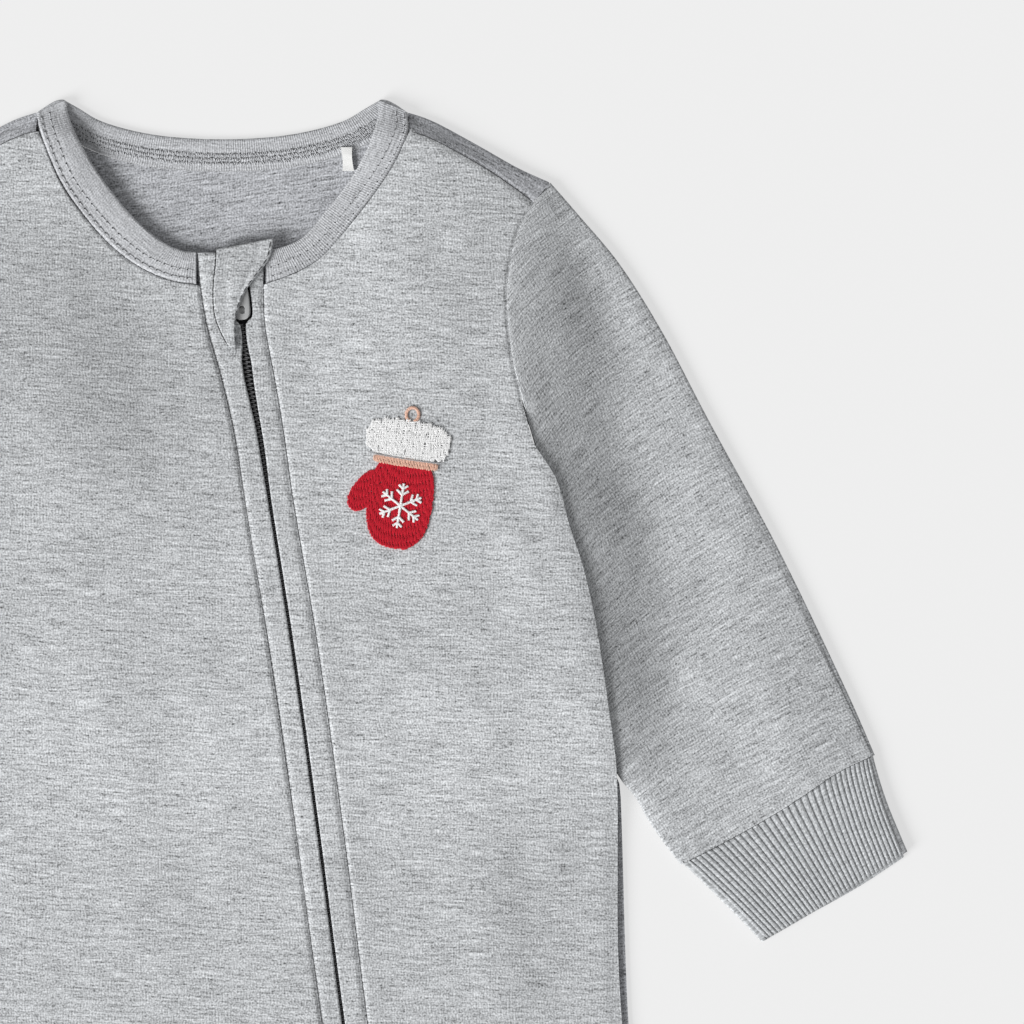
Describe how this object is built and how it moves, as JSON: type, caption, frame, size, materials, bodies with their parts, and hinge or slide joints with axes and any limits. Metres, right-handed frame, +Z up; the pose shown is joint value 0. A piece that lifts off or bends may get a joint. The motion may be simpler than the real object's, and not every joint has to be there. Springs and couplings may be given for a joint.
{
  "type": "onesie pajama",
  "caption": "Baby's long-sleeved onesie pajama laid flat, with a slanted front zip from neck to leg, a bound round neck and ribbed cuffs.",
  "frame": {"origin": "on the surface it lies on, under the middle of the laid-out garment", "axes": "+Z up off the surface, +Y towards the neck, +X towards the wearer's left"},
  "size_m": [0.4128, 0.5718, 0.007],
  "materials": {
    "jersey": "heather grey cotton jersey, matt",
    "rib": "heather grey rib knit, matt",
    "zip_tape": "dark grey woven zip tape",
    "zip_teeth": "dark moulded coil",
    "zip_metal": "light grey enamel, satin",
    "label": "white satin ribbon",
    "sewing_thread": "grey sewing thread",
    "thread_red": "crimson embroidery thread, slight sheen",
    "thread_white": "white embroidery thread, slight sheen",
    "thread_peach": "peach embroidery thread, slight sheen",
    "thread_grey": "grey embroidery thread, slight sheen"
  },
  "bodies": {
    "root": {"back": "jersey", "front_right": "jersey", "front_left": "jersey", "sleeve_left": "jersey", "sleeve_right": "jersey", "wrist_cuff_left": "rib", "wrist_cuff_right": "rib", "ankle_cuff_left": "rib", "ankle_cuff_right": "rib", "neck_binding": "rib", "zip_placket_right": "jersey", "zip_placket_left": "jersey", "zip_guard": "jersey", "zip_tape": "zip_tape", "zip_chain": "zip_teeth", "zip_slider": "zip_metal", "zip_pull": "zip_metal", "neck_label": "label"}
  },
  "joints": []
}
